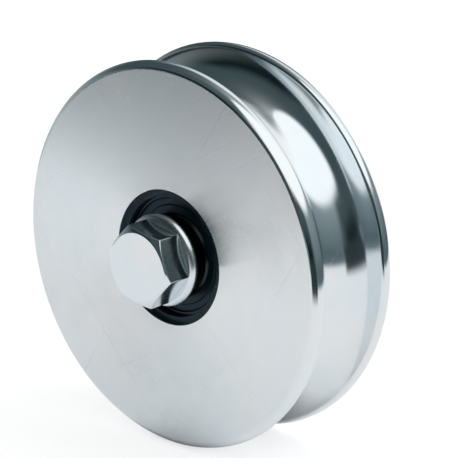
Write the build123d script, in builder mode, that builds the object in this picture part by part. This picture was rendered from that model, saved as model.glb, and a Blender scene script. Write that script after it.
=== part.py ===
"""Sliding gate wheel: a turned wheel with a round groove, two sealed ball bearings and a hex bolt axle.

The axle lies along Y and the origin is the centre of the wheel. The bolt head is on the -Y side, the front.
Millimetres.
"""

import os
from math import cos, radians, sin, sqrt

from build123d import *

# Wheel
wheel_diameter = 100.0
rail_diameter = 20.0
groove_clearance = 0.5
flange_width = 4.0
groove_lip_radius = 1.25
rim_chamfer = 1.5
rim_rounding = 1.6
face_rounding = 0.9
front_recess = 1.5
rear_shoulder = 4.0
rear_shoulder_height = 3.0
bore_lead = 0.3

# Axle hardware
bolt_diameter = 12.0
thread_depth = 0.57
bolt_clearance = 0.1
bolt_head_width = 19.0
bolt_head_height = 7.5
bolt_head_turn = -9.5
corner_cone_inset = 0.4
nut_height = 10.0
nut_countersink = 0.6
free_thread = 13.5
thread_chamfer = 1.0
washer_diameter = 24.0
washer_play = 0.5
washer_thickness = 2.0
washer_edge = 0.25
washer_rounding = 1.5

# Bushes
bush_wall = 1.4
bush_collar_diameter = 19.0
bush_collar_proud = 1.75
bush_end_gap = 0.5
bush_edge = 0.4

# Ball bearings
ball_diameter = 5.95
ball_count = 8
ball_play = 0.01
race_wall = 2.025
race_depth = 1.1
race_conformity = 0.52
ring_edge = 0.5
pocket_clearance = 0.1
cage_thickness = 0.5
cage_side_gap = 0.3
rivet_diameter = 1.2
rivet_head_diameter = 1.8
rivet_head_height = 0.35
grease_space = 0.625
seal_inset = 0.3
seal_thickness = 1.0
seal_seat_depth = 0.5
seal_bead = 0.4
seal_step = 0.25
seal_lip_gap = 0.05

# Retaining ring
clip_thickness = 1.5
clip_width = 3.4
clip_tip_width = 2.4
clip_groove_depth = 1.0
clip_gap = 9.0
clip_lug_radius = 2.6
clip_lug_hole = 2.5
clip_turn = 205.0

# Gaps between pieces that seat in one another
seat_gap = 0.02
clip_play = 0.05

# Radii
wheel_radius = wheel_diameter / 2
groove_radius = rail_diameter / 2 + groove_clearance
bolt_radius = bolt_diameter / 2
bush_bore_radius = bolt_radius + bolt_clearance
ring_bore_radius = bush_bore_radius + bush_wall
bush_radius = ring_bore_radius - seat_gap
ball_radius = ball_diameter / 2
pitch_radius = ring_bore_radius + race_wall + ball_radius
bore_radius = pitch_radius + ball_radius + race_wall
outer_ring_radius = bore_radius - seat_gap
inner_land_radius = pitch_radius - ball_radius + race_depth
outer_land_radius = pitch_radius + ball_radius - race_depth
clip_groove_radius = bore_radius + clip_groove_depth

# Places along the axle. The wheel is as wide as its groove and flanges need, or its bearings and shoulder.
cage_depth = ball_radius + pocket_clearance + cage_thickness
bearing_width = 2 * (cage_depth + grease_space + seal_thickness + seal_inset)
bearing_stack = 2 * bearing_width
seat_length = front_recess + clip_thickness + bearing_stack
wheel_width = max(2 * (groove_radius + flange_width), seat_length + rear_shoulder)
front_face = -wheel_width / 2
rear_face = wheel_width / 2
clip_front = front_face + front_recess
stack_front = clip_front + clip_thickness
stack_rear = stack_front + bearing_stack
front_washer_seat = front_face - bush_collar_proud
rear_washer_seat = rear_face + bush_collar_proud
head_seat = front_washer_seat - washer_thickness
nut_seat = rear_washer_seat + washer_thickness
nut_end = nut_seat + nut_height
bolt_end = nut_end + free_thread

os.makedirs("parts", exist_ok=True)


def axle_plane(place, side=1):
    """A half section seen from the side: its x is the radius, and its y runs from place towards side."""
    return Plane(origin=(0, place, 0), x_dir=(1, 0, 0), z_dir=(0, 0, side))


def cross_plane(place, side=1, turn=0):
    """A plane square to the axle at place, which faces towards side, its x turned from +X towards +Z."""
    across = (cos(radians(turn)), 0, sin(radians(turn)))
    return Plane(origin=(0, place, 0), x_dir=across, z_dir=(0, side, 0))


def save(piece, name):
    piece.part.label = name
    export_step(piece.part, f"parts/{name}.step")


# Wheel body: one turned section with the groove, the bearing seat and the retaining ring's groove
clip_groove_front = clip_front - clip_play
clip_groove_rear = stack_front + clip_play
shoulder_radius = bore_radius - rear_shoulder_height

with BuildPart() as wheel_body:
    with BuildSketch(Plane.XY) as section:
        with BuildLine():
            Polyline(
                (bore_radius + bore_lead, front_face),
                (wheel_radius - rim_chamfer, front_face),
                (wheel_radius, front_face + rim_chamfer),
                (wheel_radius, rear_face - rim_chamfer),
                (wheel_radius - rim_chamfer, rear_face),
                (shoulder_radius + bore_lead, rear_face),
                (shoulder_radius, rear_face - bore_lead),
                (shoulder_radius, stack_rear),
                (bore_radius, stack_rear),
                (bore_radius, clip_groove_rear),
                (clip_groove_radius, clip_groove_rear),
                (clip_groove_radius, clip_groove_front),
                (bore_radius, clip_groove_front),
                (bore_radius, front_face + bore_lead),
                close=True,
            )
        make_face()
        with Locations((wheel_radius, 0)):
            Circle(groove_radius, mode=Mode.SUBTRACT)
        fillet(section.vertices().group_by(Axis.X)[-2], radius=face_rounding)
        tread_corners = section.vertices().group_by(Axis.X)[-1]
        lips = tread_corners.sort_by(lambda corner: abs(corner.Y))[:2]
        fillet(lips, radius=groove_lip_radius)
        tread_corners = section.vertices().group_by(Axis.X)[-1]
        rims = tread_corners.sort_by(lambda corner: abs(corner.Y))[-2:]
        fillet(rims, radius=rim_rounding)
    revolve(axis=Axis.Y)
save(wheel_body, "wheel_body")

# Retaining ring: thick opposite its gap, thinner towards two lugs with pliers holes
clip_outer_radius = clip_groove_radius - clip_play
clip_inner_radius = clip_outer_radius - (clip_width + clip_tip_width) / 2
clip_offset = (clip_width - clip_tip_width) / 2
lug_centre_radius = clip_outer_radius - clip_lug_radius
lug_offset = clip_gap / 2 + clip_lug_hole
lug_place = sqrt(lug_centre_radius**2 - lug_offset**2)

with BuildPart() as retaining_ring:
    with BuildSketch(cross_plane(clip_front, turn=clip_turn)):
        Circle(clip_outer_radius)
        with Locations((clip_offset, 0)):
            Circle(clip_inner_radius, mode=Mode.SUBTRACT)
        with Locations((lug_place, lug_offset), (lug_place, -lug_offset)):
            Circle(clip_lug_radius)
            Circle(clip_lug_hole / 2, mode=Mode.SUBTRACT)
        Rectangle(clip_groove_radius, clip_gap, align=(Align.MIN, Align.CENTER), mode=Mode.SUBTRACT)
    extrude(amount=clip_thickness)
save(retaining_ring, "retaining_ring")

# Turned bushes: a spigot inside the inner rings and a collar that holds the washer clear of the wheel
for name, ring_face, washer_face in (
    ("front_bush", stack_front, front_washer_seat),
    ("rear_bush", stack_rear, rear_washer_seat),
):
    inward = 1 if ring_face < washer_face else -1
    collar_length = abs(washer_face - ring_face)
    spigot_length = (bearing_stack - bush_end_gap) / 2
    collar_radius = bush_collar_diameter / 2
    with BuildPart() as bush:
        with BuildSketch(axle_plane(ring_face, inward)):
            with BuildLine():
                Polyline(
                    (bush_bore_radius, collar_length),
                    (collar_radius - bush_edge, collar_length),
                    (collar_radius, collar_length - bush_edge),
                    (collar_radius, 0),
                    (bush_radius, 0),
                    (bush_radius, bush_edge - spigot_length),
                    (bush_radius - bush_edge, -spigot_length),
                    (bush_bore_radius, -spigot_length),
                    close=True,
                )
            make_face()
        revolve(axis=Axis.Y)
    save(bush, name)

# Ball bearings
raceway_radius = race_conformity * ball_diameter
inner_race_centre = pitch_radius - ball_radius - ball_play + raceway_radius
outer_race_centre = pitch_radius + ball_radius + ball_play - raceway_radius
half_width = bearing_width / 2
seal_rear = seal_inset + seal_thickness
seal_seat_radius = outer_land_radius + seal_seat_depth
seal_radius = seal_seat_radius - seat_gap
seal_lip_radius = inner_land_radius + seal_lip_gap
seal_web_radius = (seal_radius + seal_lip_radius) / 2
cage_inner_radius = inner_land_radius + cage_side_gap
cage_outer_radius = outer_land_radius - cage_side_gap
pocket_radius = ball_radius + pocket_clearance

upright = (Align.CENTER, Align.CENTER, Align.MIN)

with BuildPart() as rivet:
    with Locations((0, 0, cage_thickness)):
        Cone(rivet_head_diameter / 2, rivet_diameter / 2, rivet_head_height, align=upright)
    mirror(about=Plane.XY)
    Cylinder(rivet_diameter / 2 - seat_gap, 2 * cage_thickness)

for bearing, middle in (
    ("front_bearing", stack_front + half_width),
    ("rear_bearing", stack_rear - half_width),
):
    with BuildPart() as inner_ring:
        with BuildSketch(axle_plane(middle)):
            with Locations(((ring_bore_radius + inner_land_radius) / 2, 0)):
                ring = Rectangle(inner_land_radius - ring_bore_radius, bearing_width)
            chamfer(ring.vertices(), length=ring_edge)
            with Locations((inner_race_centre, 0)):
                Circle(raceway_radius, mode=Mode.SUBTRACT)
        revolve(axis=Axis.Y)
    save(inner_ring, f"{bearing}_inner_ring")

    with BuildPart() as outer_ring:
        with BuildSketch(axle_plane(middle)):
            with Locations(((outer_ring_radius + outer_land_radius) / 2, 0)):
                ring = Rectangle(outer_ring_radius - outer_land_radius, bearing_width)
            chamfer(ring.vertices().group_by(Axis.X)[-1], length=ring_edge)
            with Locations((outer_race_centre, 0)):
                Circle(raceway_radius, mode=Mode.SUBTRACT)
            for side in (1, -1):
                with Locations((outer_land_radius, side * (half_width - seal_rear / 2))):
                    Rectangle(2 * seal_seat_depth, seal_rear, mode=Mode.SUBTRACT)
        revolve(axis=Axis.Y)
    save(outer_ring, f"{bearing}_outer_ring")

    with BuildPart(cross_plane(middle)) as balls:
        with PolarLocations(pitch_radius, ball_count):
            Sphere(ball_radius)
    save(balls, f"{bearing}_balls")

    half_step = 180 / ball_count
    for half, side in (("front", -1), ("rear", 1)):
        with BuildPart(cross_plane(middle, side)) as cage_half:
            Cylinder(cage_outer_radius, cage_thickness, align=upright)
            with PolarLocations(pitch_radius, ball_count):
                Sphere(pocket_radius + cage_thickness)
            with BuildSketch(cross_plane(middle, side)):
                Circle(cage_outer_radius)
                Circle(cage_inner_radius, mode=Mode.SUBTRACT)
            extrude(amount=pocket_radius + cage_thickness, mode=Mode.INTERSECT)
            with PolarLocations(pitch_radius, ball_count):
                Sphere(pocket_radius, mode=Mode.SUBTRACT)
            with PolarLocations(pitch_radius, ball_count, start_angle=half_step):
                Hole(rivet_diameter / 2)
        save(cage_half, f"{bearing}_{half}_cage")

    with BuildPart(cross_plane(middle)) as rivets:
        with PolarLocations(pitch_radius, ball_count, start_angle=half_step):
            add(rivet.part)
    save(rivets, f"{bearing}_rivets")

    for seal_side, side in (("front", -1), ("rear", 1)):
        with BuildPart() as seal:
            with BuildSketch(axle_plane(middle + side * half_width, -side)):
                with BuildLine():
                    Polyline(
                        (seal_lip_radius, seal_rear),
                        (seal_lip_radius, seal_inset + seal_step),
                        (seal_lip_radius + seal_bead, seal_inset),
                        (seal_web_radius, seal_inset),
                        (seal_web_radius + seal_step, seal_inset + seal_step),
                        (seal_radius - seal_bead, seal_inset + seal_step),
                        (seal_radius - seal_step, seal_inset),
                        (seal_radius, seal_inset + seal_step),
                        (seal_radius, seal_rear),
                        close=True,
                    )
                make_face()
            revolve(axis=Axis.Y)
        save(seal, f"{bearing}_{seal_side}_seal")

# Washers: punched, so one edge of the rim is round. It faces away from the wheel.
for name, seat, side in (
    ("front_washer", front_washer_seat, -1),
    ("rear_washer", rear_washer_seat, 1),
):
    with BuildPart() as washer:
        with BuildSketch(cross_plane(seat, side)):
            Circle(washer_diameter / 2)
            Circle(bolt_radius + washer_play, mode=Mode.SUBTRACT)
        extrude(amount=washer_thickness)
        rim_edges = washer.edges().filter_by(GeomType.CIRCLE).group_by(SortBy.RADIUS)[-1]
        fillet(rim_edges.sort_by(Axis.Y)[::side][-1], radius=washer_rounding)
        rim_edges = washer.edges().filter_by(GeomType.CIRCLE).group_by(SortBy.RADIUS)[-1]
        chamfer(rim_edges.sort_by(Axis.Y)[::side][0], length=washer_edge)
    save(washer, name)

# Bolt and nut: hexagons whose corners a 30 degree cone cuts back. The threads are plain cylinders at the
# outside of the thread, and inside the nut both pieces are at the middle of its depth.
engaged_radius = bolt_radius - thread_depth
head_corner_radius = bolt_head_width / sqrt(3)
cone_inner_radius = bolt_head_width / 2 - corner_cone_inset
cone_drop = (head_corner_radius - cone_inner_radius) / sqrt(3)


def corner_cone(place, side):
    """Half section of what the corner cone leaves of a hexagon, from its cut face at place."""
    with BuildSketch(axle_plane(place, side)) as outline:
        with BuildLine():
            Polyline(
                (0, 0),
                (cone_inner_radius, 0),
                (head_corner_radius, cone_drop),
                (head_corner_radius, bolt_head_width),
                (0, bolt_head_width),
                close=True,
            )
        make_face()
    return outline


with BuildPart() as axle_bolt:
    with BuildSketch(cross_plane(head_seat, -1, bolt_head_turn)):
        RegularPolygon(bolt_head_width / 2, 6, major_radius=False)
    extrude(amount=bolt_head_height)
    revolve(corner_cone(head_seat - bolt_head_height, 1).sketch, axis=Axis.Y, mode=Mode.INTERSECT)
    for start, end, radius in (
        (head_seat, nut_seat, bolt_radius),
        (nut_seat, nut_end, engaged_radius),
        (nut_end, bolt_end, bolt_radius),
    ):
        with BuildSketch(cross_plane(start)):
            Circle(radius)
        extrude(amount=end - start)
    chamfer(axle_bolt.edges().group_by(Axis.Y)[-1], length=thread_chamfer)
save(axle_bolt, "axle_bolt")

with BuildPart() as axle_nut:
    with BuildSketch(cross_plane(nut_seat)):
        RegularPolygon(bolt_head_width / 2, 6, major_radius=False)
        Circle(engaged_radius + seat_gap, mode=Mode.SUBTRACT)
    extrude(amount=nut_height)
    for place, side in ((nut_seat, 1), (nut_end, -1)):
        revolve(corner_cone(place, side).sketch, axis=Axis.Y, mode=Mode.INTERSECT)
    bore_edges = axle_nut.edges().filter_by(GeomType.CIRCLE).group_by(SortBy.RADIUS)[0]
    chamfer(bore_edges, length=nut_countersink)
save(axle_nut, "axle_nut")
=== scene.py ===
import math

import bmesh
import bpy
from mathutils import Matrix, Vector


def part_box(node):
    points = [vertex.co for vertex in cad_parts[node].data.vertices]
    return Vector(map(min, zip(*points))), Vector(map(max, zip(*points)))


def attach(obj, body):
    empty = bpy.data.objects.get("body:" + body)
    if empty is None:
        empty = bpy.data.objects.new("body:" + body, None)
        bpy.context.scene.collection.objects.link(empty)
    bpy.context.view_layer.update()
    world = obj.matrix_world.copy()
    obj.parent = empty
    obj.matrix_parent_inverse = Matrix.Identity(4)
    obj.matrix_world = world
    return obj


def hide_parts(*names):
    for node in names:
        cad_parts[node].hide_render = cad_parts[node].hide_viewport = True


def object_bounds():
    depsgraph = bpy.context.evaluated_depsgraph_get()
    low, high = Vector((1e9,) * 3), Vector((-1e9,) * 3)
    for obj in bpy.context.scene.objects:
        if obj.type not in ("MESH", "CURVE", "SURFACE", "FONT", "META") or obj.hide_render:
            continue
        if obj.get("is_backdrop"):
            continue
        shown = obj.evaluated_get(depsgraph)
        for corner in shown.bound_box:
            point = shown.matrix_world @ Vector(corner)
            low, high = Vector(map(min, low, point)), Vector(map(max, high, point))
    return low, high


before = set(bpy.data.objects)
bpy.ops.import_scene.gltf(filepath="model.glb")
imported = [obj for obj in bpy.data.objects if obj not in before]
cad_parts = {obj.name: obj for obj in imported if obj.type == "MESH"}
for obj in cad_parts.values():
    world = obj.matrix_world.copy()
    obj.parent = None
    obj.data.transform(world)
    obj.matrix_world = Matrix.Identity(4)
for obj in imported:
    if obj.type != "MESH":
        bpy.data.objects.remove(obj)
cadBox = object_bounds()
print("frame loaded:", len(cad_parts), "nodes")

mm = 0.001
scene = bpy.context.scene


# camera, at the photo's angle

camera = {
    "place": (0.6878, -0.7262, 0.3271),
    "view": (-0.65064, 0.69437, -0.30728),
    "lens": 326.6,          # mm, on a 36 mm sensor
    "clip": (0.05, 40.0),
}


def makeCamera(values):
    data = bpy.data.cameras.new("camera")
    data.lens = values["lens"]
    data.sensor_width = 36.0
    data.clip_start, data.clip_end = values["clip"]
    holder = bpy.data.objects.new("camera", data)
    scene.collection.objects.link(holder)
    holder.location = values["place"]
    holder.rotation_mode = "QUATERNION"
    holder.rotation_quaternion = Vector(values["view"]).to_track_quat("-Z", "Y")
    scene.camera = holder


makeCamera(camera)
print("camera placed")


# half sections, in millimetres: a point is (distance from the axle, place along it)

def arcPoints(centre, radius, start, end, steps):
    turns = [math.radians(start + (end - start) * i / steps) for i in range(steps + 1)]
    return [(centre[0] + radius * math.cos(a), centre[1] + radius * math.sin(a)) for a in turns]


def soften(corners, steps=6, share=0.49):
    # rounds each corner (distance, place, radius) of a closed section, with at most this share of the runs
    # beside it, and with fewer steps where the radius is below 1 mm
    points = []
    for i, (x, y, radius) in enumerate(corners):
        here = Vector((x, y))
        before = Vector(corners[i - 1][:2]) - here
        after = Vector(corners[(i + 1) % len(corners)][:2]) - here
        if radius == 0:
            points.append((x, y))
            continue
        half = before.angle(after) / 2
        reach = min(radius / math.tan(half), share * before.length, share * after.length)
        radius = reach * math.tan(half)
        centre = here + (before.normalized() + after.normalized()).normalized() * radius / math.sin(half)
        first = here + before.normalized() * reach - centre
        last = here + after.normalized() * reach - centre
        sweep = first.angle_signed(last)
        count = max(3, math.ceil(steps * min(radius, 1.0)))
        for k in range(count + 1):
            turned = Matrix.Rotation(-sweep * k / count, 2) @ first
            points.append((centre.x + turned.x, centre.y + turned.y))
    return points


def sectionNormals(points):
    # each point's normal, weighted by the runs beside it so that flats stay flat
    normals = []
    for i, point in enumerate(points):
        before = Vector(point) - Vector(points[i - 1])
        after = Vector(points[(i + 1) % len(points)]) - Vector(point)
        run = before.normalized() * before.length + after.normalized() * after.length
        normals.append(Vector((run.y, -run.x)).normalized())
    return normals


def turnedMesh(name, points, segments, bandOf=None):
    # spins a closed section round the axle, with the section's own normals
    area = sum(points[i - 1][0] * p[1] - p[0] * points[i - 1][1] for i, p in enumerate(points))
    if area < 0:
        points = points[::-1]
    normals = sectionNormals(points)
    count = len(points)
    verts, vertNormals, faces, bands = [], [], [], []
    for s in range(segments):
        a = 2 * math.pi * s / segments
        for (radius, place), normal in zip(points, normals):
            verts.append((radius * mm * math.cos(a), place * mm, radius * mm * math.sin(a)))
            vertNormals.append((normal.x * math.cos(a), normal.y, normal.x * math.sin(a)))
    for s in range(segments):
        here, there = s * count, (s + 1) % segments * count
        for k in range(count):
            after = (k + 1) % count
            faces.append((here + k, here + after, there + after, there + k))
            if bandOf:
                middle = [(points[k][i] + points[after][i]) / 2 for i in (0, 1)]
                bands.append(bandOf(*middle, normals[k] + normals[after]))
    mesh = bpy.data.meshes.new(name)
    mesh.from_pydata(verts, [], faces)
    mesh.shade_smooth()
    if bandOf:
        mesh.polygons.foreach_set("material_index", bands)
    mesh.normals_split_custom_set_from_vertices(vertNormals)
    return mesh


def addPiece(name, mesh, body, slot, replaced, *materials):
    piece = bpy.data.objects.new(name, mesh)
    scene.collection.objects.link(piece)
    for material in materials:
        mesh.materials.append(material)
    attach(piece, body)
    for node in replaced:
        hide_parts(node)


# shader helpers

def put(tree, kind, sockets=None, **settings):
    made = tree.nodes.new("ShaderNode" + kind)
    for key, value in settings.items():
        setattr(made, key, value)
    for key, value in (sockets or {}).items():
        if isinstance(value, bpy.types.NodeSocket):
            tree.links.new(value, made.inputs[key])
        else:
            made.inputs[key].default_value = value
    return made


def sums(tree, operation, *values):
    return put(tree, "Math", dict(enumerate(values)), operation=operation).outputs[0]


def smoothRange(tree, value, low, high):
    # nought below low and one above high, with a soft rise between
    return put(tree, "MapRange", {0: value, 1: low, 2: high}, interpolation_type="SMOOTHSTEP").outputs[0]


def newGroup(name, inputs, outputs):
    tree = bpy.data.node_groups.new(name, "ShaderNodeTree")
    for label, value in inputs.items():
        kind = "NodeSocketColor" if isinstance(value, tuple) else "NodeSocketFloat"
        tree.interface.new_socket(name=label, in_out="INPUT", socket_type=kind).default_value = value
    for label, kind in outputs.items():
        tree.interface.new_socket(name=label, in_out="OUTPUT", socket_type=kind)
    return tree, tree.nodes.new("NodeGroupInput").outputs, tree.nodes.new("NodeGroupOutput").inputs


def useGroup(tree, group, values):
    made = put(tree, "Group", node_tree=group)
    for key, value in values.items():
        made.inputs[key].default_value = value
    return made.outputs


def turningMarksGroup():
    # rings that a lathe tool leaves: fine cuts, and wider bands where the tool or the buff dwelt
    tree, given, out = newGroup(
        "turningMarks",
        {"Cuts per Metre": 2500.0, "Bands per Metre": 350.0, "Band Share": 0.4, "Drift": 0.6},
        {"Height": "NodeSocketFloat", "Shade": "NodeSocketFloat"},
    )
    place = put(tree, "SeparateXYZ", {0: put(tree, "TexCoord").outputs["Object"]}).outputs
    squares = [sums(tree, "POWER", place[i], 2.0) for i in (0, 2)]
    radius = sums(tree, "SQRT", sums(tree, "ADD", *squares))
    safe = sums(tree, "MAXIMUM", radius, 0.0001)     # never nought on the axle
    across = sums(tree, "MULTIPLY", sums(tree, "DIVIDE", place[0], safe), given["Drift"])
    upward = sums(tree, "MULTIPLY", sums(tree, "DIVIDE", place[2], safe), given["Drift"])
    layers = []
    for scale, detail in ((given["Cuts per Metre"], 1.0), (given["Bands per Metre"], 2.0)):
        spot = put(tree, "CombineXYZ", {
            0: sums(tree, "MULTIPLY", radius, scale),
            1: sums(tree, "MULTIPLY", place[1], scale),
            2: across})
        layers.append(put(tree, "TexNoise", {
            "Vector": spot.outputs[0], "W": upward, "Scale": 1.0, "Detail": detail, "Roughness": 0.6,
        }, noise_dimensions="4D").outputs["Fac"])
    height = put(tree, "Mix", {
        "Factor": given["Band Share"], "A": layers[0], "B": layers[1]}).outputs["Result"]
    tree.links.new(height, out["Height"])
    tree.links.new(layers[1], out["Shade"])
    return tree


def forgedSkinGroup():
    # soft waves and a faint grain that rolling, punching and forging leave under the plate
    tree, given, out = newGroup(
        "forgedSkin", {"Waves per Metre": 160.0, "Grain per Metre": 1500.0, "Grain Share": 0.08},
        {"Height": "NodeSocketFloat"})
    spot = put(tree, "TexCoord").outputs["Object"]
    layers = [put(tree, "TexNoise", {"Vector": spot, "Scale": given[key], "Detail": 2.0}).outputs["Fac"]
              for key in ("Waves per Metre", "Grain per Metre")]
    height = put(tree, "Mix", {
        "Factor": given["Grain Share"], "A": layers[0], "B": layers[1]}).outputs["Result"]
    tree.links.new(height, out["Height"])
    return tree


def platingToneGroup():
    # zinc plate is never one grey: it drifts between a blue and a warm tone, and clouds a little
    tree, given, out = newGroup(
        "platingTone",
        {"Cool": (0.7, 0.7, 0.7, 1.0), "Warm": (0.7, 0.7, 0.7, 1.0), "Patches per Metre": 22.0,
         "Cloud": 0.06},
        {"Color": "NodeSocketColor"},
    )
    spot = put(tree, "TexCoord").outputs["Object"]
    wide = put(tree, "TexNoise", {
        "Vector": spot, "Scale": given["Patches per Metre"], "Detail": 3.0, "Roughness": 0.5})
    fine = put(tree, "TexNoise", {
        "Vector": spot, "Scale": sums(tree, "MULTIPLY", given["Patches per Metre"], 12.0), "Detail": 4.0})
    drift = smoothRange(tree, wide.outputs["Fac"], 0.35, 0.65)
    tone = put(tree, "Mix", {"Factor": drift, "A": given["Cool"], "B": given["Warm"]}, data_type="RGBA")
    dim = sums(tree, "SUBTRACT", 1.0, sums(tree, "MULTIPLY", fine.outputs["Fac"], given["Cloud"]))
    shaded = put(tree, "VectorMath", {0: tone.outputs["Result"], "Scale": dim}, operation="SCALE")
    tree.links.new(shaded.outputs[0], out["Color"])
    return tree


def handlingGroup():
    # soft smears from hands and cloths, and short straight scratches across them
    tree, given, out = newGroup(
        "handling",
        {"Smears per Metre": 45.0, "Scratches per Metre": 160.0},
        {"Smear": "NodeSocketFloat", "Scratch": "NodeSocketFloat"},
    )
    spot = put(tree, "TexCoord").outputs["Object"]
    smear = put(tree, "TexNoise", {
        "Vector": spot, "Scale": given["Smears per Metre"], "Detail": 4.0, "Roughness": 0.6,
        "Distortion": 0.6})
    tree.links.new(smoothRange(tree, smear.outputs["Fac"], 0.4, 0.75), out["Smear"])
    lines = None
    # a scratch is 1 / 0.3 lanes long, most cells stay bare, and the turns are three ways across, in radians
    lengthShare, laneShift, halfWidth, bare = 0.3, 0.37, 0.012, 0.8
    for turn in ((0.3, 0.5, 0.9), (1.4, 0.2, 2.1), (2.3, 1.1, 0.4)):
        laid = put(tree, "Mapping", {0: spot, "Rotation": turn}, vector_type="POINT")
        place = put(tree, "SeparateXYZ", {0: laid.outputs[0]}).outputs
        across = sums(tree, "MULTIPLY", place[0], given["Scratches per Metre"])
        lane = sums(tree, "FLOOR", across)
        cells = sums(tree, "MULTIPLY", given["Scratches per Metre"], lengthShare)
        along = sums(tree, "MULTIPLY", place[1], cells)
        along = sums(tree, "MULTIPLY_ADD", lane, laneShift, along)
        cell = put(tree, "CombineXYZ", {0: lane, 1: sums(tree, "FLOOR", along)})
        chance = put(tree, "TexWhiteNoise", {"Vector": cell.outputs[0]}, noise_dimensions="2D")
        offset = sums(tree, "ABSOLUTE", sums(tree, "SUBTRACT", sums(tree, "FRACT", across), 0.5))
        taper = sums(tree, "SINE", sums(tree, "MULTIPLY", sums(tree, "FRACT", along), math.pi))
        thin = sums(tree, "LESS_THAN", offset, sums(tree, "MULTIPLY", taper, halfWidth))
        kept = sums(tree, "GREATER_THAN", chance.outputs["Value"], bare)
        scratch = sums(tree, "MULTIPLY", thin, kept)
        lines = sums(tree, "MAXIMUM", lines, scratch) if lines else scratch
    tree.links.new(lines, out["Scratch"])
    return tree


def wornEdgeGroup():
    # bright where an edge sticks out, broken up so that no two edges match
    tree, given, out = newGroup("wornEdge", {"Reach": 0.06, "Break Up": 300.0}, {"Edge": "NodeSocketFloat"})
    point = put(tree, "NewGeometry").outputs["Pointiness"]
    edge = put(tree, "MapRange", {0: point, 1: 0.5, 2: sums(tree, "ADD", 0.5, given["Reach"])})
    spot = put(tree, "TexCoord").outputs["Object"]
    grain = put(tree, "TexNoise", {"Vector": spot, "Scale": given["Break Up"], "Detail": 3.0})
    broken = put(tree, "MapRange", {0: grain.outputs["Fac"], 1: 0.35, 2: 0.6})
    tree.links.new(sums(tree, "MULTIPLY", edge.outputs[0], broken.outputs[0]), out["Edge"])
    return tree


turningMarks = turningMarksGroup()
forgedSkin = forgedSkinGroup()
platingTone = platingToneGroup()
handling = handlingGroup()
wornEdge = wornEdgeGroup()
print("shader groups made")


# materials

def newMaterial(name):
    material = bpy.data.materials.new(name)
    material.use_nodes = True
    tree = material.node_tree
    tree.nodes.clear()
    shader = put(tree, "BsdfPrincipled")
    tree.links.new(shader.outputs[0], put(tree, "OutputMaterial").inputs["Surface"])
    return material, tree, shader


def addBump(tree, shader, height, depth):
    bump = put(tree, "Bump", {"Height": height, "Distance": depth, "Strength": 1.0})
    tree.links.new(bump.outputs[0], shader.inputs["Normal"])


def platedMetal(name, look):
    # metal plate over a turned, ground or forged surface
    material, tree, shader = newMaterial(name)
    tone = useGroup(tree, platingTone, {
        "Cool": (*look["cool"], 1), "Warm": (*look["warm"], 1), "Patches per Metre": look["patches"],
        "Cloud": look["cloud"]})
    colour = tone["Color"]
    if look["turned"]:
        marks = useGroup(tree, turningMarks, {
            "Cuts per Metre": look["cuts"], "Bands per Metre": look["bands"],
            "Band Share": look["bandShare"], "Drift": look["drift"]})
        ring = sums(tree, "MULTIPLY_ADD", marks["Shade"], -look["ringShade"], 1.0 + look["ringShade"] / 2)
        colour = put(tree, "VectorMath", {0: colour, "Scale": ring}, operation="SCALE").outputs[0]
    else:
        marks = useGroup(tree, forgedSkin, {"Waves per Metre": look["waves"]})
    wear = useGroup(tree, handling, {
        "Smears per Metre": look["smears"], "Scratches per Metre": look["scratches"]})
    tree.links.new(colour, shader.inputs["Base Color"])
    rough = sums(tree, "MULTIPLY_ADD", wear["Smear"], look["smearRough"], look["rough"])
    rough = sums(tree, "MULTIPLY_ADD", wear["Scratch"], look["scratchRough"], rough)
    tree.links.new(rough, shader.inputs["Roughness"])
    addBump(tree, shader, marks["Height"], look["cutDepth"])
    shader.inputs["Metallic"].default_value = 1.0
    shader.inputs["Anisotropic"].default_value = look["anisotropy"]
    if look["anisotropy"]:
        shader.inputs["Anisotropic Rotation"].default_value = 0.25      # highlights run along the radius
        grain = put(tree, "Tangent", direction_type="RADIAL", axis="Y")
        tree.links.new(grain.outputs[0], shader.inputs["Tangent"])
    return material


zincLook = {
    "cool": (0.79, 0.86, 0.90),
    "warm": (0.84, 0.87, 0.885),
    "patches": 22.0,
    "cloud": 0.05,
    "turned": True,
    "cuts": 1800.0,
    "bands": 380.0,
    "bandShare": 0.35,
    "drift": 0.5,
    "ringShade": 0.02,
    "smears": 45.0,
    "scratches": 160.0,
    "rough": 0.10,
    "smearRough": 0.04,
    "scratchRough": 0.05,
    "cutDepth": 0.000002,
    "anisotropy": 0.0,
}
zincTread = platedMetal("zincTread", zincLook)
zincFace = platedMetal("zincFace", {
    **zincLook, "rough": 0.25, "anisotropy": 0.88, "cutDepth": 0.0000005, "ringShade": 0.05})
forgedLook = {**zincLook, "patches": 60.0, "turned": False, "waves": 160.0, "cutDepth": 0.00001}
zincHardware = platedMetal("zincHardware", {**forgedLook, "rough": 0.13})
zincWasher = platedMetal("zincWasher", {**forgedLook, "rough": 0.24})
# painted shade: bushes and bearing rings get a near-black blue-green tone in place of bright steel, standing
# in for the shade of the recess behind the washer
turnedSteel = platedMetal("turnedSteel", {
    **zincLook, "cool": (0.026, 0.040, 0.047), "warm": (0.032, 0.042, 0.046), "rough": 0.22})
groundSteel = platedMetal("groundSteel", {
    **zincLook, "cool": (0.022, 0.034, 0.040), "warm": (0.028, 0.036, 0.040), "rough": 0.20,
    "cutDepth": 0.000001})
ballSteel = platedMetal("ballSteel", {
    **zincLook, "cool": (0.70, 0.71, 0.72), "warm": (0.72, 0.72, 0.72), "rough": 0.05, "turned": False,
    "waves": 300.0, "cutDepth": 0.0})
cageSteel = platedMetal("cageSteel", {
    **zincLook, "cool": (0.50, 0.51, 0.52), "warm": (0.55, 0.53, 0.50), "rough": 0.28, "turned": False,
    "waves": 300.0, "cutDepth": 0.000005})


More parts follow.
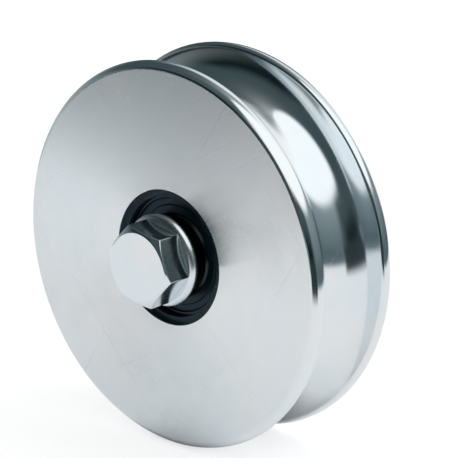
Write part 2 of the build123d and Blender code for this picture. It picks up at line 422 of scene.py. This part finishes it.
def mouldedRubber(name, look):
    material, tree, shader = newMaterial(name)
    spot = put(tree, "TexCoord").outputs["Object"]
    grain = put(tree, "TexNoise", {"Vector": spot, "Scale": look["grain"], "Detail": 3.0, "Roughness": 0.6})
    bloom = put(tree, "TexNoise", {"Vector": spot, "Scale": look["bloom"], "Detail": 4.0, "Roughness": 0.6})
    film = smoothRange(tree, bloom.outputs["Fac"], 0.4, 0.75)
    colour = put(tree, "Mix", {
        "Factor": film, "A": (*look["dark"], 1), "B": (*look["dusty"], 1)}, data_type="RGBA")
    tree.links.new(colour.outputs["Result"], shader.inputs["Base Color"])
    rough = sums(tree, "MULTIPLY_ADD", film, look["filmRough"], look["rough"])
    tree.links.new(rough, shader.inputs["Roughness"])
    addBump(tree, shader, grain.outputs["Fac"], look["grainDepth"])
    # painted reflection: the specular tint colours the rubber's reflections blue-green
    shader.inputs["Specular Tint"].default_value = (*look["paintedReflectionTint"], 1)
    return material


# the blue-green in the seals' dark tone and reflection tint is a painted reflection of the room
sealRubber = mouldedRubber("sealRubber", {
    "dark": (0.003, 0.009, 0.013), "dusty": (0.007, 0.019, 0.025), "paintedReflectionTint": (0.25, 0.55, 0.75),
    "rough": 0.30, "filmRough": 0.15, "grain": 2500.0, "grainDepth": 0.00002, "bloom": 120.0})


def blackedSteel(name, look):
    # phosphated and oiled spring steel, rubbed bright on its edges
    material, tree, shader = newMaterial(name)
    spot = put(tree, "TexCoord").outputs["Object"]
    edge = useGroup(tree, wornEdge, {"Reach": 0.08, "Break Up": 500.0})["Edge"]
    grain = put(tree, "TexNoise", {
        "Vector": spot, "Scale": look["grain"], "Detail": 4.0, "Roughness": 0.65}).outputs["Fac"]
    worn = sums(tree, "MULTIPLY", edge, look["wear"])
    colour = put(tree, "Mix", {
        "Factor": worn, "A": (*look["dark"], 1), "B": (*look["bare"], 1)}, data_type="RGBA")
    tree.links.new(colour.outputs["Result"], shader.inputs["Base Color"])
    rough = sums(tree, "MULTIPLY_ADD", grain, look["grainRough"], look["rough"])
    tree.links.new(rough, shader.inputs["Roughness"])
    addBump(tree, shader, grain, look["grainDepth"])
    # painted reflection: the specular tint colours the steel's reflections blue-green
    shader.inputs["Specular Tint"].default_value = (*look["paintedReflectionTint"], 1)
    return material


# the blue-green in the ring's dark tone and reflection tint is a painted reflection of the room
blackRing = blackedSteel("blackRing", {
    "dark": (0.003, 0.008, 0.012), "bare": (0.12, 0.14, 0.15), "paintedReflectionTint": (0.25, 0.55, 0.75),
    "wear": 0.4, "rough": 0.30, "grainRough": 0.2, "grain": 3000.0, "grainDepth": 0.00001})
print("materials made")


# wheel body

wheel = {
    "chamfer": 1.5,
    "rimRounding": 3.0,     # where a chamfer meets the tread
    "faceRounding": 1.2,    # where it meets a face
    "grooveRadius": 10.5,
    "lipRadius": 1.25,
    "boreRadius": 17.5,
    "boreLead": 0.1,
    "clipGrooveDepth": 1.0,
    "clipPlay": 0.05,
    "shoulderHeight": 3.0,
    "insideCorner": 0.1,
    "crispEdge": 0.05,
    "grooveSteps": 96,
    "lipSteps": 14,
    "segments": 420,
}


def makeWheel(values):
    low, high = (Vector(corner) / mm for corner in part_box("wheel_body"))
    ringLow, ringHigh = (Vector(corner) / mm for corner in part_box("retaining_ring"))
    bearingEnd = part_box("rear_bearing_outer_ring")[1].y / mm
    radius, front, rear = high.z, low.y, high.y
    bore, groove, lip = (values[key] for key in ("boreRadius", "grooveRadius", "lipRadius"))
    lipPlace = math.sqrt((groove + lip) ** 2 - lip ** 2)
    lean = math.degrees(math.asin(lip / (groove + lip)))
    tread = []
    tread += arcPoints((radius - lip, -lipPlace), lip, 0, 90 - lean, values["lipSteps"])
    tread += arcPoints((radius, 0), groove, 270 - lean, 90 + lean, values["grooveSteps"])[1:-1]
    tread += arcPoints((radius - lip, lipPlace), lip, lean - 90, 0, values["lipSteps"])
    chamfer, rim, soft = (values[key] for key in ("chamfer", "rimRounding", "faceRounding"))
    lead, corner, crisp = (values[key] for key in ("boreLead", "insideCorner", "crispEdge"))
    clipFront, clipRear = ringLow.y - values["clipPlay"], ringHigh.y + values["clipPlay"]
    clipDepth = bore + values["clipGrooveDepth"]
    shoulder = bore - values["shoulderHeight"]
    outline = [(radius - chamfer, front, soft), (radius, front + chamfer, rim)]
    outline += [(x, y, 0) for x, y in tread]
    outline += [
        (radius, rear - chamfer, rim),
        (radius - chamfer, rear, soft),
        (shoulder + lead, rear, crisp),
        (shoulder, rear - lead, crisp),
        (shoulder, bearingEnd, corner),
        (bore, bearingEnd, crisp),
        (bore, clipRear, crisp),
        (clipDepth, clipRear, corner),
        (clipDepth, clipFront, corner),
        (bore, clipFront, crisp),
        (bore, front + lead, crisp),
        (bore + lead, front, crisp),
    ]

    def bandOf(distance, place, normal):
        return 0 if abs(place) > rear - 0.01 and distance < radius - chamfer else 1

    mesh = turnedMesh("turnedWheel", soften(outline, 10, 0.95), values["segments"], bandOf)
    addPiece("turned_wheel", mesh, "wheel", "wheel_zinc", ["wheel_body"], zincFace, zincTread)


makeWheel(wheel)
print("wheel made")


# retaining ring, cut from plate: an eccentric ring with a gap and two lugs

clip = {
    "outer": 18.45,
    "inner": 15.55,
    "offset": 0.5,          # of the inner circle towards the gap
    "gap": 9.0,
    "lugRadius": 2.6,
    "lugHole": 2.5,
    "turn": 205.0,          # of the gap, from +X towards +Z
    "edge": 0.15,
    "edgeSteps": 3,
    "outerSteps": 160,
    "innerSteps": 150,
    "lugSteps": 24,
    "holeSteps": 36,
    "sharpFrom": 40.0,      # degrees between two faces
}


def makeClip(values):
    low, high = (Vector(corner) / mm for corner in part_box("retaining_ring"))
    halfGap = values["gap"] / 2
    lug = Vector((0, halfGap + values["lugHole"]))
    lug.x = math.sqrt((values["outer"] - values["lugRadius"]) ** 2 - lug.y ** 2)
    inner = Vector((values["offset"], 0))
    away = lug - inner
    along = (away.length ** 2 + values["inner"] ** 2 - values["lugRadius"] ** 2) / (2 * away.length)
    aside = math.sqrt(values["inner"] ** 2 - along ** 2)
    meet = inner + away.normalized() * along + Vector((-away.y, away.x)).normalized() * aside
    start = math.degrees(math.asin(halfGap / values["outer"]))
    outline = arcPoints((0, 0), values["outer"], start, 360 - start, values["outerSteps"])
    cutDrop = math.acos((lug.y - halfGap) / values["lugRadius"])
    lugFrom = 270 - math.degrees(cutDrop)
    lugTo = math.degrees(math.atan2(meet.y - lug.y, meet.x - lug.x)) % 360
    upperLug = arcPoints(lug, values["lugRadius"], lugTo, lugFrom, values["lugSteps"])
    innerTurn = math.degrees(math.atan2(meet.y, meet.x - inner.x))
    lowerLug = [(x, -y) for x, y in upperLug[::-1]]
    outline += lowerLug
    outline += arcPoints(inner, values["inner"], 360 - innerTurn, innerTurn, values["innerSteps"])[1:-1]
    outline += upperLug
    holes = [arcPoints((lug.x, side * lug.y), values["lugHole"] / 2, 0, 360, values["holeSteps"])[:-1]
             for side in (1, -1)]
    curve = bpy.data.curves.new("clipOutline", "CURVE")
    curve.dimensions = "2D"
    curve.fill_mode = "BOTH"
    for loop in (outline, *holes):
        spline = curve.splines.new("POLY")
        spline.points.add(len(loop) - 1)
        for point, (x, y) in zip(spline.points, loop):
            point.co = (x * mm, y * mm, 0, 1)
        spline.use_cyclic_u = True
    curve.bevel_depth = values["edge"] * mm
    curve.bevel_resolution = values["edgeSteps"]
    curve.offset = -values["edge"] * mm
    curve.extrude = ((high.y - low.y) / 2 - values["edge"]) * mm
    draft = bpy.data.objects.new("clipDraft", curve)
    scene.collection.objects.link(draft)
    mesh = bpy.data.meshes.new_from_object(draft.evaluated_get(bpy.context.evaluated_depsgraph_get()))
    bpy.data.objects.remove(draft)
    mesh.name = "clipPlate"
    turn = math.radians(values["turn"])
    middle = (low.y + high.y) / 2 * mm
    mesh.transform(Matrix((
        (math.cos(turn), math.sin(turn), 0, 0),
        (0, 0, 1, middle),
        (math.sin(turn), -math.cos(turn), 0, 0),
        (0, 0, 0, 1),
    )))
    mesh.shade_smooth()
    mesh.set_sharp_from_angle(angle=math.radians(values["sharpFrom"]))
    mesh.materials.clear()
    addPiece("clip_ring", mesh, "wheel", "spring_steel", ["retaining_ring"], blackRing)


makeClip(clip)
print("retaining ring made")


# bearing seals: a moulded lip, a dished web and a bead in the ring's seat

seal = {
    "lipGap": 0.05,
    "bead": 0.4,
    "step": 0.25,
    "soft": 0.12,
    "crispEdge": 0.05,
    "segments": 220,
}


def makeSeal(node, facing, values):
    low, high = (Vector(corner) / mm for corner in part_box(node))
    outerEdge = high.z
    face, back = (low.y, high.y) if facing < 0 else (high.y, low.y)
    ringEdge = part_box(node.rsplit("_", 2)[0] + "_inner_ring")[1].z / mm
    lipEdge = ringEdge + values["lipGap"]
    web = (outerEdge + lipEdge) / 2
    step = values["step"] * -facing
    soft, crisp = values["soft"], values["crispEdge"]
    outline = [
        (lipEdge, back, crisp),
        (lipEdge, face + step, soft),
        (lipEdge + values["bead"], face, soft),
        (web, face, soft),
        (web + values["step"], face + step, soft),
        (outerEdge - values["bead"], face + step, soft),
        (outerEdge - values["step"], face, soft),
        (outerEdge, face + step, crisp),
        (outerEdge, back, crisp),
    ]
    mesh = turnedMesh(node + "Form", soften(outline), values["segments"])
    name = node.replace("bearing_", "") + "_moulded"
    addPiece(name, mesh, "wheel", "seal_rubber", [node], sealRubber)


makeSeal("front_bearing_front_seal", -1, seal)
makeSeal("rear_bearing_rear_seal", 1, seal)
print("seals made")


# washers and bushes

washer = {
    "hole": 6.5,
    "rollover": 1.5,        # rounding where the punch went in
    "burr": 0.2,
    "segments": 220,
}


def makeWasher(node, facing, values):
    low, high = (Vector(corner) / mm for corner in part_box(node))
    outer, back = (low.y, high.y) if facing < 0 else (high.y, low.y)
    outline = [
        (values["hole"], back, values["burr"]),
        (values["hole"], outer, values["burr"]),
        (high.z, outer, values["rollover"]),
        (high.z, back, values["burr"]),
    ]
    mesh = turnedMesh(node + "Form", soften(outline, 10, 0.8), values["segments"])
    addPiece(node + "_punched", mesh, "axle", "hardware_zinc", [node], zincWasher)


bush = {
    "bore": 6.1,
    "spigot": 7.48,
    "edge": 0.4,
    "soft": 0.12,
    "insideCorner": 0.05,
    "segments": 180,
}


def makeBush(node, facing, values):
    low, high = (Vector(corner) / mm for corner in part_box(node))
    outer, tip = (low.y, high.y) if facing < 0 else (high.y, low.y)
    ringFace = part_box(node.replace("bush", "bearing_inner_ring"))
    seat = (ringFace[0].y if facing < 0 else ringFace[1].y) / mm
    edge, soft, collar = values["edge"], values["soft"], high.z
    inward = -facing * edge
    outline = [
        (values["bore"], outer, soft),
        (collar - edge, outer, soft),
        (collar, outer + inward, soft),
        (collar, seat, soft),
        (values["spigot"], seat, values["insideCorner"]),
        (values["spigot"], tip - inward, soft),
        (values["spigot"] - edge, tip, soft),
        (values["bore"], tip, soft),
    ]
    mesh = turnedMesh(node + "Form", soften(outline), values["segments"])
    addPiece(node + "_turned", mesh, "axle", "turned_steel", [node], turnedSteel)


for end, facing in (("front", -1), ("rear", 1)):
    makeWasher(end + "_washer", facing, washer)
    makeBush(end + "_bush", facing, bush)
print("washers and bushes made")


# bolt and nut: hexagons cut back by a 30 degree cone, and a helical thread

bolt = {
    "across": 19.0,
    "coneInset": 0.4,
    "headTurn": -9.5,
    "shank": 5.98,
    "pitch": 1.75,
    "crest": 5.98,
    "root": 5.02,
    "tip": 5.0,
    "run": 3.0,             # of thread hidden in the nut
    "edge": 0.22,
    "edgeSteps": 3,
    "edgeFrom": 24.0,       # degrees between two faces
    "sideSteps": 14,
    "threadSegments": 120,
    "threadSharpFrom": 35.0,
}
nut = {
    "hole": 5.45,
    "sink": 0.6,
    "turn": 0.0,
}


def hexMesh(name, rows, turn, values):
    # rows are (radius, place, drop) round the axle: radius None is the hexagon, drop the cone's slope there
    verts, faces = [], []
    steps = values["sideSteps"]
    count = 6 * steps
    apothem = values["across"] / 2
    inset = apothem - values["coneInset"]
    for radius, place, drop in rows:
        for k in range(count):
            local = math.radians(60 * (k % steps) / steps - 30)
            reach = apothem / math.cos(local) if radius is None else radius
            y = place + drop * (reach - inset) / math.sqrt(3) if radius is None else place
            a = math.radians(turn + 60 * k / steps)
            verts.append((reach * mm * math.cos(a), y * mm, reach * mm * math.sin(a)))
    for row in range(len(rows) - 1):
        here, there = row * count, (row + 1) * count
        for k in range(count):
            after = (k + 1) % count
            faces.append((here + k, there + k, there + after, here + after))
    mesh = bpy.data.meshes.new(name)
    if rows[0] != rows[-1]:     # a bolt is closed at both ends, and a nut's rows meet again
        faces.append(tuple(range(count)))
        faces.append(tuple(range((len(rows) - 1) * count, len(rows) * count))[::-1])
    mesh.from_pydata(verts, [], faces)
    work = bmesh.new()
    work.from_mesh(mesh)
    bmesh.ops.remove_doubles(work, verts=work.verts, dist=1e-7)
    bmesh.ops.recalc_face_normals(work, faces=work.faces)
    work.to_mesh(mesh)
    work.free()
    draft = bpy.data.objects.new(name + "Draft", mesh)
    scene.collection.objects.link(draft)
    bevel = draft.modifiers.new("bevel", "BEVEL")
    bevel.width = values["edge"] * mm
    bevel.segments = values["edgeSteps"]
    bevel.limit_method = "ANGLE"
    bevel.angle_limit = math.radians(values["edgeFrom"])
    weighted = draft.modifiers.new("weighted", "WEIGHTED_NORMAL")
    weighted.keep_sharp = False
    mesh.shade_smooth()
    finished = bpy.data.meshes.new_from_object(draft.evaluated_get(bpy.context.evaluated_depsgraph_get()))
    bpy.data.objects.remove(draft)
    finished.name = name
    return finished


def threadMesh(name, start, end, values):
    # each row follows the helix, so the crests stay clean; both ends are cut flat with a chamfer
    pitch, crest, root, tip = (values[key] for key in ("pitch", "crest", "root", "tip"))
    flank = (crest - root) / math.sqrt(3) / pitch
    flat = 1 / 16       # half of the crest's flat, as a share of the pitch
    phases = [-flat, flat, flat + flank / 2, flat + flank, 0.5, 1 - flat - flank, 1 - flat - flank / 2]
    depths = [0, 0, 0.5, 1, 1, 1, 0.5]
    turns = math.ceil((end - start) / pitch) + 1
    segments = values["threadSegments"]
    verts, faces = [], []
    for s in range(segments):
        share = s / segments
        a = 2 * math.pi * share
        for k in range(-1, turns):
            for phase, depth in zip(phases, depths):
                y = min(max(start + (k + phase + share) * pitch, start), end)
                radius = min(crest - depth * (crest - root), tip + end - y, tip + y - start)
                verts.append((radius * mm * math.cos(a), y * mm, radius * mm * math.sin(a)))
    count = len(verts) // segments
    lead = len(phases)
    for s in range(segments):
        shift = 0 if s < segments - 1 else lead      # the seam joins one turn further on
        for k in range(count - 1):
            here, there = s * count + k, (s + 1) % segments * count + k - shift
            if k >= shift:
                faces.append((here, here + 1, there + 1, there))
    mesh = bpy.data.meshes.new(name)
    mesh.from_pydata(verts, [], faces)
    work = bmesh.new()
    work.from_mesh(mesh)
    bmesh.ops.remove_doubles(work, verts=work.verts, dist=1e-6)
    bmesh.ops.dissolve_degenerate(work, edges=work.edges, dist=1e-7)
    openEdges = [edge for edge in work.edges if edge.is_boundary]
    bmesh.ops.holes_fill(work, edges=openEdges, sides=0)
    bmesh.ops.recalc_face_normals(work, faces=work.faces)
    work.to_mesh(mesh)
    work.free()
    mesh.shade_smooth()
    mesh.set_sharp_from_angle(angle=math.radians(values["threadSharpFrom"]))
    return mesh


def makeBolt(values):
    low, high = (Vector(corner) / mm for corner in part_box("axle_bolt"))
    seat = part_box("front_washer")[0].y / mm
    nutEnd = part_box("axle_nut")[1].y / mm
    inset = values["across"] / 2 - values["coneInset"]
    rows = [
        (inset, low.y, 0),
        (None, low.y, 1),
        (None, seat, 0),
        (values["shank"], seat, 0),
        (values["shank"], nutEnd - values["run"], 0),
    ]
    head = hexMesh("boltHead", rows, values["headTurn"], values)
    addPiece("hex_bolt", head, "axle", "hardware_zinc", ["axle_bolt"], zincHardware)
    thread = threadMesh("boltThread", nutEnd - values["run"], high.y, values)
    addPiece("hex_bolt_thread", thread, "axle", "hardware_zinc", ["axle_bolt"], zincHardware)


def makeNut(values, hexagon):
    low, high = (Vector(corner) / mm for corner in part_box("axle_nut"))
    inset = hexagon["across"] / 2 - hexagon["coneInset"]
    hole, sink = values["hole"], values["sink"]
    rows = [
        (hole, low.y + sink, 0),
        (hole + sink, low.y, 0),
        (inset, low.y, 0),
        (None, low.y, 1),
        (None, high.y, -1),
        (inset, high.y, 0),
        (hole + sink, high.y, 0),
        (hole, high.y - sink, 0),
        (hole, low.y + sink, 0),
    ]
    mesh = hexMesh("nutForm", rows, values["turn"], hexagon)
    addPiece("hex_nut", mesh, "axle", "hardware_zinc", ["axle_nut"], zincHardware)


makeBolt(bolt)
makeNut(nut, bolt)
print("bolt and nut made")


# what stays from the frame gets its finish

finishes = {
    "inner_ring": groundSteel,
    "outer_ring": groundSteel,
    "balls": ballSteel,
    "front_cage": cageSteel,
    "rear_cage": cageSteel,
    "rivets": cageSteel,
    "front_seal": sealRubber,
    "rear_seal": sealRubber,
}
for node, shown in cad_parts.items():
    for ending, material in finishes.items():
        if node.endswith(ending):
            shown.data.materials.clear()
            shown.data.materials.append(material)
print("frame pieces finished")


# studio: a pale floor, a big soft panel overhead, and dim walls and flags that only reflections see

studio = {
    "floorSize": 8.0,
    "floorGap": 0.0001,     # between the wheel and the floor
    "floorTone": 0.85,
    "floorGlow": 0.62,      # what the camera adds to the lit floor, so that it goes white
    "floorMirror": 0.42,    # what reflections add to it
    "paintedShadowShape": (1.0, 0.8, 0.0),    # the painted shadow under the wheel is longer along the axle
    "paintedShadowReach": (0.011, 0.0265),    # where it starts to fade, and where it ends
    "paintedShadowTone": 0.02,
    "worldLight": 0.45,     # of the world on matt surfaces
    "lampPower": 3.0,
    "lampPlace": (0.55, 0.55, 1.1),
    "lampSize": 1.2,
    "cardReach": 1.5,       # of the first card, with each next one a little nearer
    "cardStep": 0.03,
    "clothEnd": 1.45,
    "clothStep": 0.001,     # each cloth lies a little above the one before
    "clothFeather": (0.10, 0.10, 0.04, 0),
}

# azimuth 0 is behind the wheel (+Y) and 90 to its right (+X), at a card's low and top edge;
# rise is in degrees above the wheel's centre; feather is the soft share at the start, end, low and top edge
cards = {
    "surround": {"low": (-180, 180), "top": (-180, 180), "rise": (-8, 90), "feather": (0, 0, 0, 0),
                 "tone": ((0.050, 0.076, 0.082), (0.53, 0.55, 0.56)), "power": 7.0},
    "blackFlag": {"low": (-172, -108), "top": (-168, -115), "rise": (-8, 42), "feather": (0.25, 0.25, 0, 0.4),
                  "tone": ((0.004, 0.010, 0.011), (0.004, 0.010, 0.011)), "power": 1.0},
    "sideFlag": {"low": (112, 168), "top": (118, 160), "rise": (-8, 14), "feather": (0.3, 0.4, 0, 0.6),
                 "tone": ((0.005, 0.012, 0.014), (0.005, 0.012, 0.014)), "power": 1.0},
    "farStrip": {"low": (-150, -55), "top": (-150, -55), "rise": (-12, 26), "feather": (0.5, 0.1, 0.1, 0.8),
                 "tone": ((0.37, 0.41, 0.42), (0.37, 0.41, 0.42)), "power": 1.0},
    "backWall": {"low": (-60, 114), "top": (-60, 125), "rise": (-12, 32), "feather": (0.18, 0.08, 0, 0),
                 "tone": ((0.07, 0.115, 0.124), (0.30, 0.36, 0.38)), "power": 1.1},
    "backGlow": {"low": (-34, 10), "top": (-27, 17), "rise": (-12, 27), "feather": (0.35, 0.35, 0.1, 0.3),
                 "tone": ((1.19, 1.20, 1.20), (1.19, 1.20, 1.20)), "power": 1.0},
    "fillPanel": {"low": (-62, 140), "top": (-62, 200), "rise": (22, 84), "feather": (0.10, 0.08, 0.16, 0.5),
                  "tone": ((0.53, 0.58, 0.60), (0.71, 0.75, 0.76)), "power": 1.0},
    "wingPanel": {"low": (-75, 40), "top": (-35, 60), "rise": (33, 72), "feather": (0.3, 0.3, 0.2, 0.3),
                  "tone": ((0.90, 0.92, 0.92), (0.90, 0.92, 0.92)), "power": 1.0},
    "keyPanel": {"low": (-30, 145), "top": (0, 216), "rise": (22, 90), "feather": (0.35, 0.09, 0.12, 0),
                 "tone": ((1.12, 1.13, 1.13), (1.12, 1.13, 1.13)), "power": 1.0},
}
# dark cloths that lie on the floor: near is where each starts, in metres from the wheel's centre
cloths = {
    "backCloth": {"azimuth": (-8, 116), "near": 0.25, "tone": (0.09, 0.137, 0.146)},
    "sideCloth": {"azimuth": (104, 163), "near": 0.165, "tone": (0.027, 0.04, 0.044)},
    "cornerCloth": {"azimuth": (156, 182), "near": 0.22, "tone": (0.195, 0.24, 0.25)},
    "frontCloth": {"azimuth": (176, 246), "near": 0.28, "tone": (0.018, 0.031, 0.035)},
    "farCloth": {"azimuth": (234, 300), "near": 0.30, "tone": (0.53, 0.56, 0.57)},
}


def smoothShare(value):
    value = min(max(value, 0.0), 1.0)
    return value * value * (3 - 2 * value)


def glowMaterial(name, low, high, power):
    material = bpy.data.materials.new(name)
    material.use_nodes = True
    tree = material.node_tree
    tree.nodes.clear()
    height = put(tree, "Attribute", attribute_name="height").outputs["Fac"]
    cover = put(tree, "Attribute", attribute_name="cover").outputs["Fac"]
    tone = put(tree, "Mix", {
        "Factor": sums(tree, "POWER", height, power), "A": (*low, 1), "B": (*high, 1)}, data_type="RGBA")
    glow = put(tree, "Emission", {"Color": tone.outputs["Result"]})
    clear = put(tree, "BsdfTransparent")
    both = put(tree, "MixShader", {0: cover, 1: clear.outputs[0], 2: glow.outputs[0]})
    tree.links.new(both.outputs[0], put(tree, "OutputMaterial").inputs["Surface"])
    return material


def addCard(name, placeOf, feather, material, wide=90, tall=48):
    # placeOf gives a point for two shares, along and up the card
    verts, heights, covers, faces = [], [], [], []
    for r in range(tall + 1):
        for c in range(wide + 1):
            along, up = c / wide, r / tall
            verts.append(placeOf(along, up))
            heights.append(up)
            cover = 1.0
            for share, soft in zip((along, 1 - along, up, 1 - up), feather):
                cover *= smoothShare(share / soft) if soft else 1.0
            covers.append(cover)
            if r and c:
                k = r * (wide + 1) + c
                faces.append((k - wide - 2, k - wide - 1, k, k - 1))
    mesh = bpy.data.meshes.new(name)
    mesh.from_pydata(verts, [], faces)
    for label, values in (("height", heights), ("cover", covers)):
        mesh.attributes.new(label, "FLOAT", "POINT").data.foreach_set("value", values)
    mesh.materials.append(material)
    card = bpy.data.objects.new(name, mesh)
    scene.collection.objects.link(card)
    for ray in ("camera", "diffuse", "shadow", "volume_scatter"):
        setattr(card, "visible_" + ray, False)
    card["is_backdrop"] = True


def mixed(pair, share):
    return pair[0] + (pair[1] - pair[0]) * share


def backgroundStrength(tree, onCamera, onMirror, elsewhere):
    ray = put(tree, "LightPath").outputs
    mirror = sums(tree, "MAXIMUM", ray["Is Glossy Ray"], ray["Is Transmission Ray"])
    shown = put(tree, "Mix", {"Factor": mirror, "A": elsewhere, "B": onMirror}).outputs["Result"]
    return put(tree, "Mix", {"Factor": ray["Is Camera Ray"], "A": shown, "B": onCamera}).outputs["Result"]


def makeStudio(values):
    floorHeight = cadBox[0].z - values["floorGap"]
    half = values["floorSize"] / 2
    corners = ((-half, -half), (half, -half), (half, half), (-half, half))
    mesh = bpy.data.meshes.new("floor")
    mesh.from_pydata([(x, y, floorHeight) for x, y in corners], [], [(0, 1, 2, 3)])
    material = bpy.data.materials.new("paleFloor")
    material.use_nodes = True
    tree = material.node_tree
    tree.nodes.clear()
    # painted shadow: near the wheel the floor gives reflections less glow, so the metal mirrors a dark pool
    # under the wheel
    place = put(tree, "TexCoord").outputs["Object"]
    spot = put(tree, "VectorMath", {0: place, 1: values["paintedShadowShape"]}, operation="MULTIPLY")
    distance = put(tree, "VectorMath", {0: spot.outputs[0]}, operation="LENGTH").outputs["Value"]
    near, far = values["paintedShadowReach"]
    paintedShadowFactor = put(tree, "MapRange", {0: distance, 1: near, 2: far, 3: values["paintedShadowTone"], 4: 1.0},
                  interpolation_type="SMOOTHSTEP").outputs[0]
    mirrored = sums(tree, "MULTIPLY", paintedShadowFactor, values["floorMirror"])
    strength = backgroundStrength(tree, values["floorGlow"], mirrored, 0.0)
    tone = values["floorTone"]
    matt = put(tree, "BsdfDiffuse", {"Color": (tone, tone, tone, 1)})
    glow = put(tree, "Emission", {"Color": (1, 1, 1, 1), "Strength": strength})
    both = put(tree, "AddShader", {0: matt.outputs[0], 1: glow.outputs[0]})
    tree.links.new(both.outputs[0], put(tree, "OutputMaterial").inputs["Surface"])
    mesh.materials.append(material)
    floor = bpy.data.objects.new("floor", mesh)
    scene.collection.objects.link(floor)
    floor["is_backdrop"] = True

    world = bpy.data.worlds.new("studio")
    scene.world = world
    world.use_nodes = True
    tree = world.node_tree
    tree.nodes.clear()
    strength = backgroundStrength(tree, 1.0, 1.0, values["worldLight"])
    sky = put(tree, "Background", {"Color": (1, 1, 1, 1), "Strength": strength})
    tree.links.new(sky.outputs[0], put(tree, "OutputWorld").inputs["Surface"])

    lamp = bpy.data.lights.new("softLamp", "AREA")
    lamp.energy = values["lampPower"]
    lamp.size = values["lampSize"]
    holder = bpy.data.objects.new("softLamp", lamp)
    scene.collection.objects.link(holder)
    holder.location = values["lampPlace"]
    holder.rotation_mode = "QUATERNION"
    holder.rotation_quaternion = (-Vector(values["lampPlace"])).to_track_quat("-Z", "Y")
    holder.visible_camera = False
    holder.visible_glossy = False

    for step, (name, card) in enumerate(cards.items()):
        reach = values["cardReach"] - step * values["cardStep"]

        def placeOf(along, up):
            start, end = (mixed((card["low"][i], card["top"][i]), up) for i in (0, 1))
            a, e = math.radians(mixed((start, end), along)), math.radians(mixed(card["rise"], up))
            level = reach * math.cos(e)
            return (level * math.sin(a), level * math.cos(a), reach * math.sin(e))

        addCard(name, placeOf, card["feather"], glowMaterial(name, *card["tone"], card["power"]))
    for step, (name, cloth) in enumerate(cloths.items()):
        lift = floorHeight + values["clothStep"] * (step + 1)

        def placeOf(along, up):
            a = math.radians(mixed(cloth["azimuth"], along))
            away = mixed((cloth["near"], values["clothEnd"]), up)
            return (away * math.sin(a), away * math.cos(a), lift)

        material = glowMaterial(name, cloth["tone"], cloth["tone"], 1.0)
        addCard(name, placeOf, values["clothFeather"], material)


makeStudio(studio)
scene.view_settings.view_transform = "Standard"
print("studio made")

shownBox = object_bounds()
boxes = {"cad": cadBox, "visual": shownBox}
{label: [list(corner) for corner in box] for label, box in boxes.items()}
